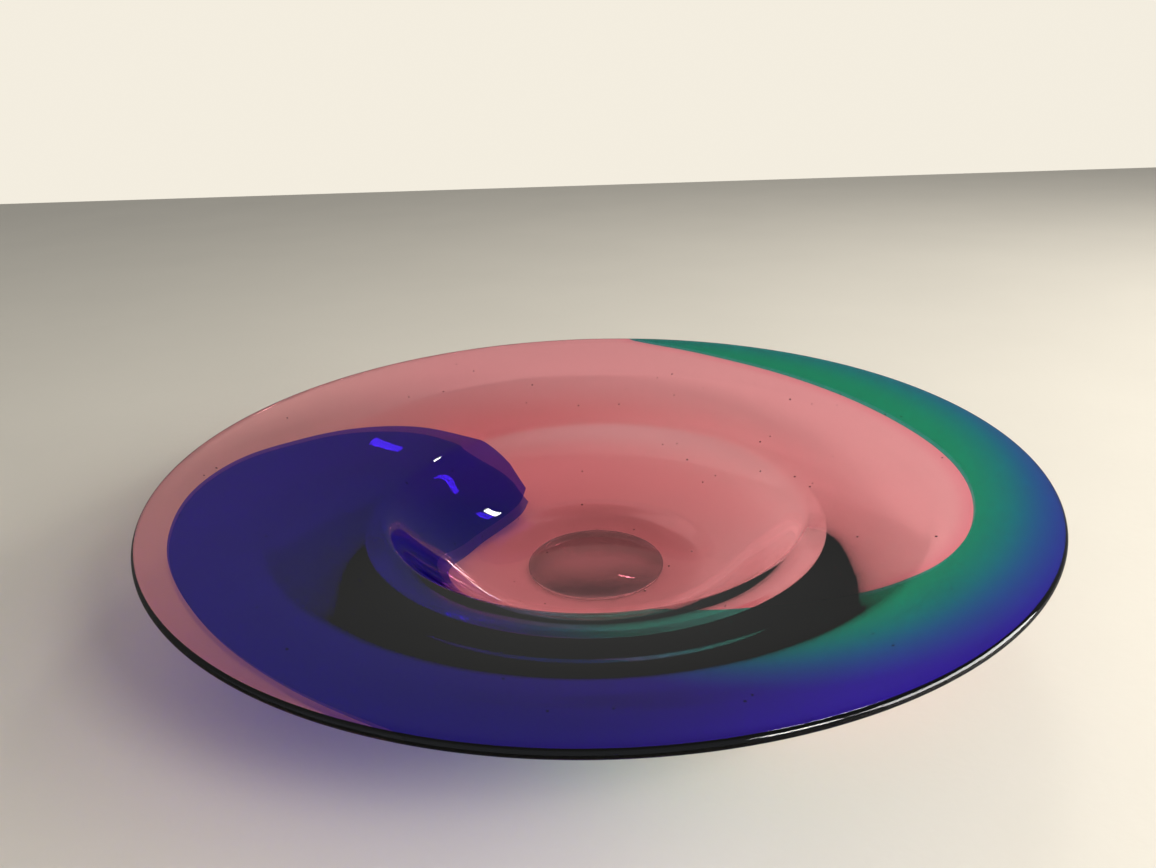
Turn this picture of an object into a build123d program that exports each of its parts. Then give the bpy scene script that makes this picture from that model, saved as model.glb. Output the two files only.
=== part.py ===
# Art glass bowl: one wide, shallow blown bowl, about 400 mm across.
# The wall is three coloured gathers of glass that were joined edge to edge and spun out hot,
# so that they swirl round a deep well in the middle. A clear pad under the well is ground flat.
# Origin: on the rest plane, under the middle of the bowl. +Z is up. Millimetres.
import os
from math import cos, radians, sin

from build123d import *

# Overall sizes
rim_radius = 200.0        # middle of the bowl to the outermost point of the rim
overall_height = 66.0     # rest plane to the top of the rim

# Flare, the broad sloping part
rim_edge = 3.4            # thickness of the fire-polished edge, fully rounded
flare_wall = 4.6          # wall of the flare, measured upright
shoulder_drop = 10.7      # rim top down to the shoulder, where the glass starts to thicken
rim_ease = 0.85           # slope at the rim, as a share of the flare's mean slope
shoulder_ease = 1.05      # slope at the shoulder, in the same share
lip_ease = 1.18           # slope just outside the lip

# Lip, the tight bend between flare and well
lip_radius = 102.5        # where the flare ends
lip_drop = 22.7           # rim top down to there
lip_width = 4.0           # the bend runs this far in
lip_fall = 1.7            # and this far down

# Wedge of thickening glass from the shoulder in to the lip, seen from below
wedge_width = 47.5        # lip to shoulder
bend_outside = 8.0        # the underside begins to turn this far outside the shoulder
bend_run = 5.0            # and has turned after this run
bend_slope = 1.6          # times the flare's mean slope
# (share of the wedge's width, upright wall, slope over the flare's mean slope)
wedge_walls = [(0.62, 7.8, 1.77), (0.16, 13.2, 2.6)]

# Well
well_floor = 8.2          # rest plane to the middle of the floor
# (share of the well's radius, share of its depth, slope over its mean slope), from the middle out
well_inside = [(0.0, 0.0, 0.0), (0.51, 0.10, 0.6), (0.75, 0.37, 2.1), (0.935, 0.82, 2.9), (1.0, 1.0, 2.4)]
# the same for the underside, from the side in to the foot, over the top of the pad
well_underside = [(0.85, 0.286, 1.86), (0.61, 0.02, 0.3)]

# Foot
foot_radius = 34.0        # clear pad that the bowl stands on
foot_thickness = 2.4      # how far the pad stands below the coloured glass
foot_edge_round = 0.8     # softened edge of the ground pad

# Swirl: (angle in degrees, distance from the middle as a share of the rim radius).
# Angles run counter-clockwise from +X, seen from above. The seam leaves the rim square to it,
# winds in to a blunt tip inside the well and winds out again to the rim on the other side.
seam_inner_side = [(438, 0.963), (426, 0.92), (408, 0.875), (385, 0.848), (345, 0.845), (317, 0.763)]
seam_inner_side += [(296, 0.594), (271, 0.46), (237, 0.42), (204, 0.40), (170, 0.325), (140, 0.31)]
swirl_tip = [(123, 0.36)]
seam_outer_side = [(123, 0.44), (132, 0.523), (144, 0.675), (163, 0.81), (185, 0.914), (212, 0.937)]
seam_outer_side += [(236, 0.955), (248, 0.972)]
# Where cobalt gives way to emerald inside the second gather
colour_change = [(222, 0.34), (240, 0.47), (262, 0.60), (283, 0.76), (300, 0.86), (320, 0.92), (338, 0.96)]

# Cutting prisms, all of them outside the second gather except for the seams
cut_reach = 1.3           # rim radii out from the middle
cut_above = 1.25          # overall heights up
cut_below = 0.25          # overall heights down
return_angle = 460        # past the far end of the emerald
return_start = 0.6        # share of the rim radius where the cut turns in
return_middle = (330, 0.05)


def ring_point(angle, share):
    """A point in plan, from its angle and its share of the rim radius."""
    reach = share * rim_radius
    return (reach * cos(radians(angle)), reach * sin(radians(angle)))


def curve_through(stations):
    """One smooth curve through stations; each is (radius, height, slope), all in one direction."""
    way = 1 if stations[-1][0] > stations[0][0] else -1
    points = [(radius, height) for radius, height, slope in stations]
    return Spline(*points, tangents=[(way, way * slope) for radius, height, slope in stations])


def upper_stations():
    """Upper surface, from the middle of the well out to the rim."""
    well_radius = lip_radius - lip_width
    well_depth = overall_height - lip_drop - lip_fall - well_floor
    mean = well_depth / well_radius
    stations = [
        (share * well_radius, well_floor + depth * well_depth, slope * mean)
        for share, depth, slope in well_inside
    ]
    flare_mean = lip_drop / (rim_radius - rim_edge / 2 - lip_radius)
    stations.append((lip_radius, overall_height - lip_drop, lip_ease * flare_mean))
    stations.append((lip_radius + wedge_width, overall_height - shoulder_drop, shoulder_ease * flare_mean))
    stations.append((rim_radius - rim_edge / 2, overall_height, rim_ease * flare_mean))
    return stations


def under_stations():
    """Underside, from the rim in to the edge of the foot."""
    flare_mean = lip_drop / (rim_radius - rim_edge / 2 - lip_radius)
    shoulder_slope = shoulder_ease * flare_mean
    stations = [(rim_radius - rim_edge / 2, overall_height - rim_edge, rim_ease * flare_mean)]
    bend_radius = lip_radius + wedge_width + bend_outside
    bend_height = overall_height - shoulder_drop + bend_outside * shoulder_slope - flare_wall
    stations.append((bend_radius, bend_height, shoulder_slope))
    bent_slope = bend_slope * flare_mean
    bent_height = bend_height - bend_run * (shoulder_slope + bent_slope) / 2
    stations.append((bend_radius - bend_run, bent_height, bent_slope))
    for share, wall, slope in wedge_walls:
        run = share * wedge_width
        height = overall_height - lip_drop + run * shoulder_slope - wall
        stations.append((lip_radius + run, height, slope * flare_mean))
    well_radius = lip_radius - lip_width
    belly_depth = overall_height - lip_drop - lip_fall - foot_thickness
    mean = belly_depth / well_radius
    for share, depth, slope in well_underside:
        stations.append((share * well_radius, foot_thickness + depth * belly_depth, slope * mean))
    stations.append((foot_radius, foot_thickness, 0))
    return stations


def wall_section():
    """Half section of the wall, closed through the rounded rim, the top of the pad and the axis."""
    upper = curve_through(upper_stations())
    lower = curve_through(under_stations())
    edge_centre = rim_radius - rim_edge / 2
    rim_top = (edge_centre, overall_height)
    rim_middle = (rim_radius, overall_height - rim_edge / 2)
    rim = ThreePointArc(rim_top, rim_middle, (edge_centre, overall_height - rim_edge))
    over_pad = Line((foot_radius, foot_thickness), (0, foot_thickness))
    axis = Line((0, foot_thickness), (0, well_floor))
    return make_face([upper, rim, lower, over_pad, axis])


def plan_prism(outline):
    """A prism over a closed plan outline, from below the bowl to above it."""
    blank = extrude(make_face(outline), amount=(cut_above + cut_below) * overall_height)
    return Pos(0, 0, -cut_below * overall_height) * blank


def arc_outside(start, end):
    """An arc in plan, clear of the rim, from one angle to another."""
    points = [ring_point(angle, cut_reach) for angle in (start, (start + end) / 2, end)]
    return ThreePointArc(*points)


def second_gather_prism():
    """Everything inside the S-shaped seam: cobalt and emerald together."""
    stops = seam_inner_side + swirl_tip + seam_outer_side
    seam = Spline(*[ring_point(angle, share) for angle, share in stops])
    first, last = stops[0], stops[-1]
    out = Line(ring_point(*last), ring_point(last[0], cut_reach))
    back = Line(ring_point(first[0], cut_reach), ring_point(*first))
    return plan_prism([seam, out, arc_outside(last[0], first[0]), back])


def emerald_prism():
    """The part of the second gather on the emerald side of the colour change."""
    change = Spline(*[ring_point(angle, share) for angle, share in colour_change])
    first, last = colour_change[0], colour_change[-1]
    out = Line(ring_point(*last), ring_point(last[0], cut_reach))
    turn_in = ring_point(return_angle, return_start)
    back = Line(ring_point(return_angle, cut_reach), turn_in)
    inside = ThreePointArc(turn_in, ring_point(*return_middle), ring_point(*first))
    return plan_prism([change, out, arc_outside(last[0], return_angle), back, inside])


def foot():
    """Clear pad under the well, ground flat, with a softened edge."""
    pad = extrude(Circle(foot_radius), amount=foot_thickness)
    low_edges = pad.edges().group_by(Axis.Z)[0]
    return fillet(low_edges, foot_edge_round)


def main():
    wall = revolve(Plane.XZ * wall_section(), Axis.Z)
    second = wall & second_gather_prism()
    pieces = {
        "ruby_swirl": wall - second_gather_prism(),
        "cobalt_swirl": second - emerald_prism(),
        "emerald_swirl": second & emerald_prism(),
        "foot_pad": foot(),
    }
    os.makedirs("parts", exist_ok=True)
    for name, piece in pieces.items():
        export_step(piece, f"parts/{name}.step")


main()
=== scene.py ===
import bpy
import math
from mathutils import Matrix, Vector


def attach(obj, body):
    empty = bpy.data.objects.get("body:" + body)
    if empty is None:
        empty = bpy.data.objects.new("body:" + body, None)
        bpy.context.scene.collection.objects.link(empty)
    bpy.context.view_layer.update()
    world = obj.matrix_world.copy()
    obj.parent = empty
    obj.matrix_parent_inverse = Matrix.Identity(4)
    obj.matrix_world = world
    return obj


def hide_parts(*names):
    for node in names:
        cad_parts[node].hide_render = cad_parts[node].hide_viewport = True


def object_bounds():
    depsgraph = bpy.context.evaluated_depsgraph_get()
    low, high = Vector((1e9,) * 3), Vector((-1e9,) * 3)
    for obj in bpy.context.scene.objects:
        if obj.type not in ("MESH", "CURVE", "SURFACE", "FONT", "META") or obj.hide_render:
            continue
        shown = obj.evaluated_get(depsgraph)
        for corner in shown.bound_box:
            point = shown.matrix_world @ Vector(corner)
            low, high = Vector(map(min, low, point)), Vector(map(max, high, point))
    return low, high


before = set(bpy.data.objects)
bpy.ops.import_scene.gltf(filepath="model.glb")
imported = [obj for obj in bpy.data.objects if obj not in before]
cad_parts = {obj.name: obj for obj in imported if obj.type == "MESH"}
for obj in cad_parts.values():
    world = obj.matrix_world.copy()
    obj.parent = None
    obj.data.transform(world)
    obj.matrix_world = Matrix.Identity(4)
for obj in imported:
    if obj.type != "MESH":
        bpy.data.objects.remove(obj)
cadBox = [list(corner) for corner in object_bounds()]
rimRadius = (cadBox[1][0] - cadBox[0][0]) / 2
rimTop = cadBox[1][2]
mm = 0.001
glassIor = 1.5


# small helpers

def linear(hexColour):
    def channel(value):
        value = value / 255
        return value / 12.92 if value <= 0.04045 else ((value + 0.055) / 1.055) ** 2.4
    parts = [int(hexColour[i:i + 2], 16) for i in (0, 2, 4)]
    return tuple(channel(part) for part in parts) + (1.0,)


def addNode(tree, kind, inputs=None, **settings):
    node = tree.nodes.new(kind)
    for name, value in settings.items():
        setattr(node, name, value)
    for key, value in (inputs or {}).items():
        if isinstance(value, bpy.types.NodeSocket):
            tree.links.new(value, node.inputs[key])
        else:
            node.inputs[key].default_value = value
    return node


def sums(tree, operation, first, second=0.0, clamp=False):
    inputs = {0: first, 1: second}
    return addNode(tree, "ShaderNodeMath", inputs, operation=operation, use_clamp=clamp).outputs[0]


def noise(tree, place, size, detail):
    # size in mm, read from the object's own coordinates
    node = addNode(tree, "ShaderNodeTexNoise", {"Vector": place, "Scale": 1000 / size, "Detail": detail})
    return node.outputs["Fac"]


def between(tree, value, low, high, soft=True):
    node = addNode(tree, "ShaderNodeMapRange", {"Value": value, "From Min": low, "From Max": high})
    node.interpolation_type = "SMOOTHSTEP" if soft else "LINEAR"
    return node.outputs["Result"]


def blendColour(tree, factor, first, second, how="MIX"):
    node = addNode(tree, "ShaderNodeMix", {"Factor": factor, 6: first, 7: second}, data_type="RGBA")
    node.blend_type = how
    return node.outputs[2]


def curveOf(tree, value, points):
    node = addNode(tree, "ShaderNodeFloatCurve", {"Value": value})
    node.mapping.use_clip = False
    line = node.mapping.curves[0]
    for number, (along, height) in enumerate(points):
        if number < 2:
            line.points[number].location = (along, height)
        else:
            line.points.new(along, height)
    node.mapping.update()
    return node.outputs["Value"]


def newMaterial(name):
    material = bpy.data.materials.new(name)
    material.use_nodes = True
    material.node_tree.nodes.clear()
    return material, material.node_tree


def meshPiece(name, points, faces, material):
    mesh = bpy.data.meshes.new(name)
    mesh.from_pydata(points, [], faces)
    mesh.update()
    for face in mesh.polygons:
        face.use_smooth = True
    mesh.materials.append(material)
    piece = bpy.data.objects.new(name, mesh)
    bpy.context.scene.collection.objects.link(piece)
    return piece


# the blown wall: section, in mm, as stations (radius, height, rise over run)

wall = {
    "upper": [(0, 8.2, 0), (50.2, 11.5, 0.2), (73.9, 20.5, 0.71), (92.1, 35.6, 0.98),
              (98.5, 41.6, 0.81), (102.5, 43.3, 0.28), (150, 55.3, 0.249), (198.3, 66, 0.201)],
    "lower": [(198.3, 62.6, 0.201), (158, 52.7, 0.249), (153, 51.13, 0.38), (132, 42.9, 0.42),
              (110.1, 32, 0.616), (83.7, 13.6, 0.74), (60.1, 3.2, 0.12), (34, 2.4, 0)],
    "stepsPerStretch": 12,
    "rimSteps": 14,
    "turns": 360,
}

pad = {
    "radius": 34.0,
    "thickness": 2.4,
    "round": 0.8,
    "roundSteps": 6,
    "airGap": 0.02,         # keeps the pad a hair under the coloured glass
    "turns": 180,
    "groundBelow": 0.2,     # the wheel touches only what is lower than this
    "gritSize": 0.6,        # coarser than real grit, so that it shows
    "gritDepth": 0.05,
    "gritStrength": 0.4,
    "markSize": 9,
    "markRange": (-0.2, 2.6),
    "clear": "F4F6F4",
    # the underside's greyer tone: partly its ground finish, partly painted shade for the floor contact under
    # the pad
    "ground": "E2DAD4",
}


def stretch(start, end, steps):
    # points of the cubic between two stations, the first one left out
    run = (end[0] - start[0]) / 3
    leaving = (start[0] + run, start[1] + run * start[2])
    arriving = (end[0] - run, end[1] - run * end[2])
    knots = [start[:2], leaving, arriving, end[:2]]
    points = []
    for step in range(1, steps + 1):
        t = step / steps
        weights = ((1 - t) ** 3, 3 * t * (1 - t) ** 2, 3 * t * t * (1 - t), t ** 3)
        points.append(tuple(sum(w * k[axis] for w, k in zip(weights, knots)) for axis in (0, 1)))
    return points


def halfLine(stations, steps):
    line = [stations[0][:2]]
    for start, end in zip(stations, stations[1:]):
        line += stretch(start, end, steps)
    return line


def wallLine(shape):
    line = halfLine(shape["upper"], shape["stepsPerStretch"])
    top, bottom = shape["upper"][-1], shape["lower"][0]
    middle, half = (top[1] + bottom[1]) / 2, (top[1] - bottom[1]) / 2
    for step in range(1, shape["rimSteps"]):
        turn = math.pi / 2 - math.pi * step / shape["rimSteps"]
        line.append((top[0] + half * math.cos(turn), middle + half * math.sin(turn)))
    line += halfLine(shape["lower"], shape["stepsPerStretch"])
    line.append((0, shape["lower"][-1][1]))
    return line


def padLine(shape):
    radius, edge, high = shape["radius"], shape["round"], shape["thickness"] - shape["airGap"]
    line = [(0, high), (radius - edge / 4, high), (radius, high - edge / 4)]
    for step in range(shape["roundSteps"] + 1):
        turn = math.pi / 2 * step / shape["roundSteps"]
        line.append((radius - edge + edge * math.cos(turn), edge - edge * math.sin(turn)))
    line.append((0, 0))
    return line


def spunMesh(name, line, turns, material):
    rings = [point for point in line if point[0] > 0]
    points = [(0, 0, line[0][1] * mm)]
    for radius, height in rings:
        for step in range(turns):
            turn = 2 * math.pi * step / turns
            points.append((radius * mm * math.cos(turn), radius * mm * math.sin(turn), height * mm))
    points.append((0, 0, line[-1][1] * mm))

    def corner(ring, step):
        return 1 + ring * turns + step % turns

    faces = [(0, corner(0, step), corner(0, step + 1)) for step in range(turns)]
    for ring in range(len(rings) - 1):
        for step in range(turns):
            faces.append((corner(ring, step), corner(ring + 1, step),
                          corner(ring + 1, step + 1), corner(ring, step + 1)))
    last = len(rings) - 1
    faces += [(len(points) - 1, corner(last, step + 1), corner(last, step)) for step in range(turns)]
    return meshPiece(name, points, faces, material)


# coloured glass

swirl = {
    "tipAngle": 122,
    # angle in degrees, distance from the middle as a share of the rim radius
    "innerSide": [(122, 0.36), (137, 0.31), (170, 0.32), (204, 0.40), (250, 0.43), (271, 0.46), (296, 0.594),
                  (308, 0.69), (317, 0.763), (329, 0.82), (345, 0.845), (385, 0.848), (413, 0.888),
                  (431.5, 0.945), (440, 0.984), (446, 1.03), (482, 1.2)],
    "outerSide": [(122, 0.36), (123.5, 0.43), (131.6, 0.523), (144, 0.675), (163, 0.81), (185, 0.914),
                  (201, 0.934), (225, 0.94), (243, 0.964), (254, 0.995), (262, 1.1), (482, 1.1)],
    "colourChange": [(122, 0.0), (200, 0.30), (235, 0.42), (262, 0.58), (283, 0.80), (300, 0.89),
                     (320, 0.94), (345, 0.985), (372, 1.03), (482, 1.1)],
    "changeWidth": 0.16,
}

glassColours = {
    "ruby": "FBAAB9",
    "rubyPale": "F6BDC0",
    # painted light: a paler ruby for the well, lifting the shade under the bowl
    "rubyWellPaintedLight": "FFC6D2",
    "rubyDeep": "F688A0",
    "cobalt": "3212B4",
    "teal": "0A74A0",
    "emerald": "059A78",
}

glass = {                   # sizes in mm
    "wellEdge": (0.58, 0.46),   # shares of the rim radius between which the paler ruby of the well starts: painted light, lifting the shade under the bowl
    "wellLightStrength": 0.7,
    "paleFrom": 0.4,        # the far left of the ruby is thinner, from this share outwards
    "paleDepth": 0.55,
    "cloudDepth": 0.3,
    "cloudSize": 160,       # drift in the depth of the ruby
    "seamBand": 9,          # the ruby is richer this near the seam
    "seamDepth": 0.6,
    "swellSize": 70,        # slow unevenness of a hand-turned wall
    "swellHeight": 0.25,
    "spinSpacing": 9,       # faint rings from the spinning
    "spinShare": 0.06,
    "spinStretch": 3.0,
    "smearSize": 60,        # handling smears
    "smearRange": (0.52, 0.75),
    "smearRoughness": 0.025,
}


def around(tree, points, turn, tip):
    return curveOf(tree, turn, [((angle - tip) / 360, share) for angle, share in points])


def swirlGlass():
    material, tree = newMaterial("blown glass, ruby cobalt and emerald")
    place = addNode(tree, "ShaderNodeTexCoord").outputs["Object"]
    split = addNode(tree, "ShaderNodeSeparateXYZ", {0: place})
    x, y = split.outputs[0], split.outputs[1]
    flat = addNode(tree, "ShaderNodeCombineXYZ", {0: x, 1: y})
    length = addNode(tree, "ShaderNodeVectorMath", {0: flat.outputs[0]}, operation="LENGTH")
    share = sums(tree, "MULTIPLY", length.outputs["Value"], 1 / rimRadius)
    angle = sums(tree, "MULTIPLY", sums(tree, "ARCTAN2", y, x), 1 / (2 * math.pi))
    turn = sums(tree, "FRACT", sums(tree, "ADD", angle, 2 - swirl["tipAngle"] / 360))
    innerSide = around(tree, swirl["innerSide"], turn, swirl["tipAngle"])
    outerSide = around(tree, swirl["outerSide"], turn, swirl["tipAngle"])
    pastInner = sums(tree, "GREATER_THAN", share, innerSide)
    beforeOuter = sums(tree, "LESS_THAN", share, outerSide)
    second = sums(tree, "MULTIPLY", pastInner, beforeOuter)
    change = around(tree, swirl["colourChange"], turn, swirl["tipAngle"])
    beyond = sums(tree, "SUBTRACT", share, change)
    width = swirl["changeWidth"]
    toCobalt = between(tree, beyond, -width / 2, width / 2)
    greens = blendColour(tree, between(tree, beyond, -width, 0), linear(glassColours["emerald"]),
                         linear(glassColours["teal"]))
    blues = blendColour(tree, toCobalt, greens, linear(glassColours["cobalt"]))
    # ruby: the thin left side is paler, the glass along the seam richer
    cloud = sums(tree, "MULTIPLY", noise(tree, place, glass["cloudSize"], 2.0), glass["cloudDepth"])
    toLeft = between(tree, x, -glass["paleFrom"] * rimRadius, -rimRadius)
    paler = sums(tree, "ADD", sums(tree, "MULTIPLY", toLeft, glass["paleDepth"]), cloud, clamp=True)
    rubies = blendColour(tree, paler, linear(glassColours["ruby"]), linear(glassColours["rubyPale"]))
    toSeam = sums(tree, "ABSOLUTE", sums(tree, "SUBTRACT", share, innerSide))
    nearSeam = between(tree, toSeam, glass["seamBand"] * mm / rimRadius, 0.0)
    richer = sums(tree, "MULTIPLY", nearSeam, glass["seamDepth"])
    rubies = blendColour(tree, richer, rubies, linear(glassColours["rubyDeep"]))
    # painted light: the ruby is made paler in the well, standing in for light that the shade under the bowl
    # takes away
    wellPaintedLight = sums(tree, "MULTIPLY", between(tree, share, *glass["wellEdge"]), glass["wellLightStrength"])
    rubies = blendColour(tree, wellPaintedLight, rubies, linear(glassColours["rubyWellPaintedLight"]))
    plain = blendColour(tree, second, rubies, blues)
    # a hot-worked surface is polished by the flame but never quite even
    swell = noise(tree, place, glass["swellSize"], 1.0)
    spin = noise(tree, ringPlace(tree, share, turn), 1000, 2.0)
    uneven = sums(tree, "ADD", swell, sums(tree, "MULTIPLY", spin, glass["spinShare"]))
    wave = addNode(tree, "ShaderNodeBump", {
        "Height": uneven, "Strength": 1.0, "Distance": glass["swellHeight"] * mm})
    dull = between(tree, noise(tree, place, glass["smearSize"], 6.0), *glass["smearRange"])
    rough = sums(tree, "MULTIPLY", dull, glass["smearRoughness"])
    shader = addNode(tree, "ShaderNodeBsdfPrincipled", {
        "Base Color": plain, "Roughness": rough, "IOR": glassIor, "Transmission Weight": 1.0,
        "Normal": wave.outputs[0]})
    addNode(tree, "ShaderNodeOutputMaterial", {"Surface": shader.outputs[0]})
    return material


def ringPlace(tree, share, turn):
    # stretched along the spin, so noise on it makes faint rings
    across = sums(tree, "MULTIPLY", share, rimRadius / mm / glass["spinSpacing"])
    along = sums(tree, "MULTIPLY", turn, glass["spinStretch"])
    return addNode(tree, "ShaderNodeCombineXYZ", {0: across, 1: along}).outputs[0]


# the pad: clear glass, polished on top, its underside ground on a wheel

def groundGlass():
    material, tree = newMaterial("ground clear glass")
    place = addNode(tree, "ShaderNodeTexCoord").outputs["Object"]
    height = addNode(tree, "ShaderNodeSeparateXYZ", {0: place}).outputs[2]
    underside = sums(tree, "LESS_THAN", height, pad["groundBelow"] * mm)
    grit = sums(tree, "MULTIPLY", noise(tree, place, pad["gritSize"], 3.0), underside)
    marks = between(tree, noise(tree, place, pad["markSize"], 2.0), *pad["markRange"])
    rough = sums(tree, "MULTIPLY", underside, marks)
    # painted shade: the ground underside is tinted greyer, darkening the base as if in contact shadow; the
    # grit and roughness are the real grinding
    tone = blendColour(tree, underside, linear(pad["clear"]), linear(pad["ground"]))
    bump = addNode(tree, "ShaderNodeBump", {
        "Height": grit, "Strength": pad["gritStrength"], "Distance": pad["gritDepth"] * mm})
    shader = addNode(tree, "ShaderNodeBsdfPrincipled", {
        "Base Color": tone, "Roughness": rough, "IOR": glassIor, "Transmission Weight": 1.0,
        "Normal": bump.outputs[0]})
    addNode(tree, "ShaderNodeOutputMaterial", {"Surface": shader.outputs[0]})
    return material


# seeds: pin-head bubbles caught in the middle of the wall

seed = {
    "number": 90,           # over the whole bowl, about
    "smallest": 0.25,       # radius in mm
    "largest": 0.6,
    "draw": 7,
    "innerRadius": 12.0,
    "outerRadius": 188.0,
    "sheetRings": 44,
    "sheetTurns": 48,
    "tint": "8A8688",
    "roughness": 0.05,
}


def seedGlass():
    material, tree = newMaterial("air in glass")
    air = addNode(tree, "ShaderNodeBsdfPrincipled", {
        "Base Color": linear(seed["tint"]), "Roughness": seed["roughness"], "IOR": glassIor,
        "Transmission Weight": 1.0})
    addNode(tree, "ShaderNodeOutputMaterial", {"Surface": air.outputs[0]})
    return material


def seedTree():
    tree = bpy.data.node_groups.new("scattered seeds", "GeometryNodeTree")
    face = tree.interface
    face.new_socket(name="Geometry", in_out="INPUT", socket_type="NodeSocketGeometry")
    for name, kind in (("Density", "NodeSocketFloat"), ("Smallest", "NodeSocketFloat"),
                       ("Largest", "NodeSocketFloat"), ("Draw", "NodeSocketInt"),
                       ("Material", "NodeSocketMaterial")):
        face.new_socket(name=name, in_out="INPUT", socket_type=kind)
    face.new_socket(name="Geometry", in_out="OUTPUT", socket_type="NodeSocketGeometry")
    given = addNode(tree, "NodeGroupInput").outputs
    spots = addNode(tree, "GeometryNodeDistributePointsOnFaces", {
        "Mesh": given["Geometry"], "Density": given["Density"], "Seed": given["Draw"]})
    bead = addNode(tree, "GeometryNodeMeshIcoSphere", {"Radius": 1.0, "Subdivisions": 2})
    size = addNode(tree, "FunctionNodeRandomValue", {2: given["Smallest"], 3: given["Largest"]})
    placed = addNode(tree, "GeometryNodeInstanceOnPoints", {
        "Points": spots.outputs["Points"], "Instance": bead.outputs["Mesh"], "Scale": size.outputs[1]})
    real = addNode(tree, "GeometryNodeRealizeInstances", {0: placed.outputs[0]})
    finish = addNode(tree, "GeometryNodeSetMaterial", {
        "Geometry": real.outputs[0], "Material": given["Material"]})
    addNode(tree, "NodeGroupOutput", {0: finish.outputs[0]})
    return tree


def middleSheet(material):
    # a sheet half way through the wall, for the seeds to lie on
    def heights(stations):
        line = halfLine(stations, wall["stepsPerStretch"])
        return line if line[0][0] < line[-1][0] else line[::-1]

    def heightAt(line, radius):
        for (r1, z1), (r2, z2) in zip(line, line[1:]):
            if radius <= r2:
                return z1 + (z2 - z1) * max(0.0, radius - r1) / (r2 - r1)
        return line[-1][1]

    upper, lower = heights(wall["upper"]), heights(wall["lower"])
    steps, turns = seed["sheetRings"], seed["sheetTurns"]
    across = seed["outerRadius"] - seed["innerRadius"]
    radii = [seed["innerRadius"] + across * ring / steps for ring in range(steps + 1)]
    points, faces = [], []
    for radius in radii:
        middle = (heightAt(upper, radius) + heightAt(lower, radius)) / 2
        for step in range(turns):
            turn = 2 * math.pi * step / turns
            points.append((radius * mm * math.cos(turn), radius * mm * math.sin(turn), middle * mm))
    for ring in range(steps):
        for step in range(turns):
            here, after = ring * turns + step, ring * turns + (step + 1) % turns
            faces.append((here, here + turns, after + turns, after))
    return meshPiece("seedSheet", points, faces, material)


def trappedSeeds():
    material = seedGlass()
    sheet = middleSheet(material)
    modifier = sheet.modifiers.new("seeds", "NODES")
    modifier.node_group = seedTree()
    sockets = {item.name: item.identifier for item in modifier.node_group.interface.items_tree
               if item.in_out == "INPUT"}
    area = math.pi * (seed["outerRadius"] ** 2 - seed["innerRadius"] ** 2) * mm * mm
    for name, value in (("Density", seed["number"] / area), ("Smallest", seed["smallest"] * mm),
                        ("Largest", seed["largest"] * mm), ("Draw", seed["draw"]), ("Material", material)):
        modifier[sockets[name]] = value
    bpy.context.view_layer.update()
    grown = sheet.evaluated_get(bpy.context.evaluated_depsgraph_get())
    mesh = bpy.data.meshes.new_from_object(grown)
    mesh.name = "seeds"
    bpy.data.objects.remove(sheet)
    piece = bpy.data.objects.new("seeds", mesh)
    bpy.context.scene.collection.objects.link(piece)
    for face in mesh.polygons:
        face.use_smooth = True
    return piece


print("blowing the wall")
glassMaterial = swirlGlass()
bowl = spunMesh("blownWall", wallLine(wall), wall["turns"], glassMaterial)
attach(bowl, "root")
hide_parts("ruby_swirl", "cobalt_swirl", "emerald_swirl")

print("grinding the pad")
foot = spunMesh("groundPad", padLine(pad), pad["turns"], groundGlass())
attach(foot, "root")
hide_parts("foot_pad")

print("trapping the seeds")
seeds = trappedSeeds()
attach(seeds, "root")


# stage, light and camera

room = {
    "floorSize": 3.6,
    "floorColour": "D8D1C3",
    "floorRoughness": 0.6,
    "patchScale": 6.0,      # noise scales, for a floor in metres
    "patchDarkest": 0.93,
    "brushScale": 160.0,
    "brushStrength": 0.12,
    "underPad": 0.0004,     # the floor lies this far below the pad
    "farColour": "CFCABF",  # past the edge of the floor
    "seenInGlass": 0.26,    # painted shade: the floor's colour is dimmed to this share when the glass mirrors it
}


def floorPaint():
    material, tree = newMaterial("pale painted floor")
    place = addNode(tree, "ShaderNodeTexCoord").outputs["Object"]
    patches = addNode(tree, "ShaderNodeTexNoise", {
        "Vector": place, "Scale": room["patchScale"], "Detail": 5.0})
    tone = linear(room["floorColour"])
    darker = tuple(part * room["patchDarkest"] for part in tone[:3]) + (1.0,)
    shade = blendColour(tree, patches.outputs["Fac"], darker, tone)
    brush = addNode(tree, "ShaderNodeTexNoise", {
        "Vector": place, "Scale": room["brushScale"], "Detail": 4.0})
    bump = addNode(tree, "ShaderNodeBump", {
        "Height": brush.outputs["Fac"], "Strength": room["brushStrength"], "Distance": mm})
    # painted shade in reflections: glossy rays off the glass see the floor darker than the camera does
    ray = addNode(tree, "ShaderNodeLightPath").outputs
    mirrored = sums(tree, "SUBTRACT", ray["Is Glossy Ray"], ray["Is Transmission Ray"], clamp=True)
    dimmed = between(tree, mirrored, 0.0, 1.0, soft=False)
    dimmed.node.inputs["To Min"].default_value = 1.0
    dimmed.node.inputs["To Max"].default_value = room["seenInGlass"]
    shade = blendColour(tree, 1.0, shade, dimmed, how="MULTIPLY")
    coat = addNode(tree, "ShaderNodeBsdfPrincipled", {
        "Base Color": shade, "Roughness": room["floorRoughness"], "Normal": bump.outputs[0]})
    addNode(tree, "ShaderNodeOutputMaterial", {"Surface": coat.outputs[0]})
    return material


print("setting the stage")
half = room["floorSize"] / 2
corners = [(x, y, -room["underPad"]) for x, y in ((-half, -half), (half, -half), (half, half), (-half, half))]
floor = meshPiece("floor", corners, [(0, 1, 2, 3)], floorPaint())


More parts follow.
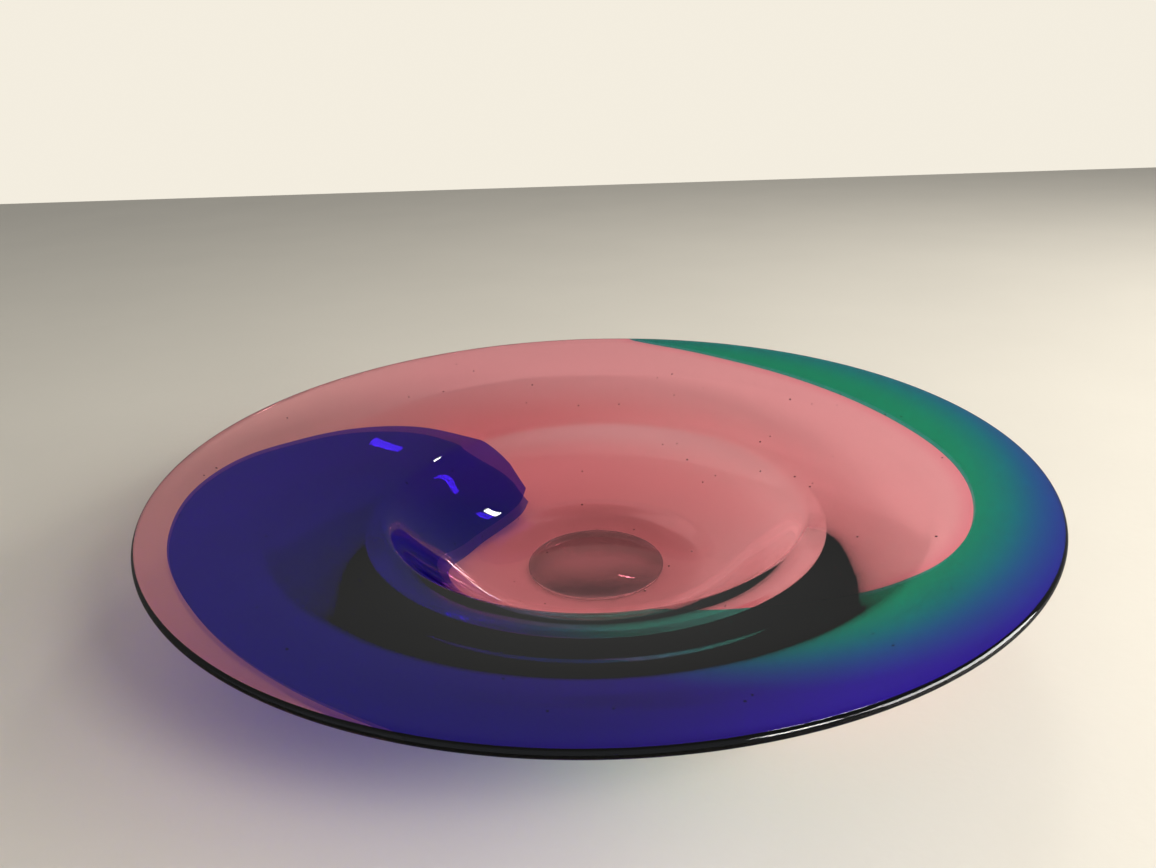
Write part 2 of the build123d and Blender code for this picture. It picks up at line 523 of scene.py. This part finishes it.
lamps = {                   # places, targets and sizes in metres
    "windowLight": {"place": (0.85, -0.95, 0.9), "target": (0, 0.1, 0.05), "size": (0.4, 0.4),
                    "watts": 8, "colour": (1.0, 0.99, 0.97)},
    "sideLight": {"place": (1.5, -0.35, 0.62), "target": (0, 0, 0.03), "size": (1.3, 0.8),
                  "watts": 26, "colour": (1.0, 0.99, 0.97)},
    "stripLight": {"place": (0.5, 0.95, 1.2), "target": (0, 0, 0.05), "size": (0.3, 0.06),
                   "watts": 1.4, "colour": (1.0, 0.98, 0.95)},
}

sky = {
    "frontOf": (0.25, -0.6),    # the y of a direction, from the dim rear to the bright front
    "rear": (0.2, 0.2, 0.195, 1),
    "front": (0.4, 0.415, 0.44, 1),
}


def softLight(name, lamp):
    data = bpy.data.lights.new(name, "AREA")
    data.shape = "RECTANGLE"
    data.size, data.size_y = lamp["size"]
    data.energy = lamp["watts"]
    data.color = lamp["colour"]
    thing = bpy.data.objects.new(name, data)
    thing.visible_camera = False
    thing.location = lamp["place"]
    aim = Vector(lamp["target"]) - Vector(lamp["place"])
    thing.rotation_euler = aim.to_track_quat("-Z", "Y").to_euler()
    bpy.context.scene.collection.objects.link(thing)


def skyLight():
    world = bpy.data.worlds.new("dim room")
    world.use_nodes = True
    tree = world.node_tree
    toward = addNode(tree, "ShaderNodeTexCoord").outputs["Generated"]
    axis = addNode(tree, "ShaderNodeSeparateXYZ", {0: toward})
    glow = blendColour(tree, between(tree, axis.outputs[1], *sky["frontOf"]), sky["rear"], sky["front"])
    ray = addNode(tree, "ShaderNodeLightPath").outputs
    seen = sums(tree, "MAXIMUM", ray["Is Camera Ray"], ray["Is Transmission Ray"])
    shown = blendColour(tree, seen, glow, linear(room["farColour"]))
    tree.links.new(shown, tree.nodes["Background"].inputs["Color"])
    bpy.context.scene.world = world


print("placing the lights")
for lampName, lamp in lamps.items():
    softLight(lampName, lamp)

skyLight()

view = {
    "lens": 27.03,          # mm, on a sensor 36 mm wide
    "back": 1.901,          # rim radii in front of the middle
    "above": 0.8158,        # rim radii above the rim
    "down": 21.965,         # degrees
    "turn": -1.018,
    "roll": -1.932,
    "transform": "Standard",
    "look": "Medium High Contrast",
    "exposure": 0.28,
}


def placeCamera():
    data = bpy.data.cameras.new("camera")
    data.lens = view["lens"]
    data.sensor_width = 36
    data.clip_start = 0.01
    camera = bpy.data.objects.new("camera", data)
    bpy.context.scene.collection.objects.link(camera)
    down, turn, roll = (math.radians(view[key]) for key in ("down", "turn", "roll"))
    ahead = Vector((math.sin(turn) * math.cos(down), math.cos(turn) * math.cos(down), -math.sin(down)))
    across = Vector((math.cos(turn), -math.sin(turn), 0))
    upward = across.cross(ahead)
    right = math.cos(roll) * across + math.sin(roll) * upward
    top = -math.sin(roll) * across + math.cos(roll) * upward
    place = Matrix((right, top, -ahead)).transposed().to_4x4()
    place.translation = Vector((0, -view["back"] * rimRadius, rimTop + view["above"] * rimRadius))
    camera.matrix_world = place
    bpy.context.scene.camera = camera


print("placing the camera")
placeCamera()
display = bpy.context.scene.view_settings
display.view_transform = view["transform"]
display.look = view["look"]
display.exposure = view["exposure"]

print("done")
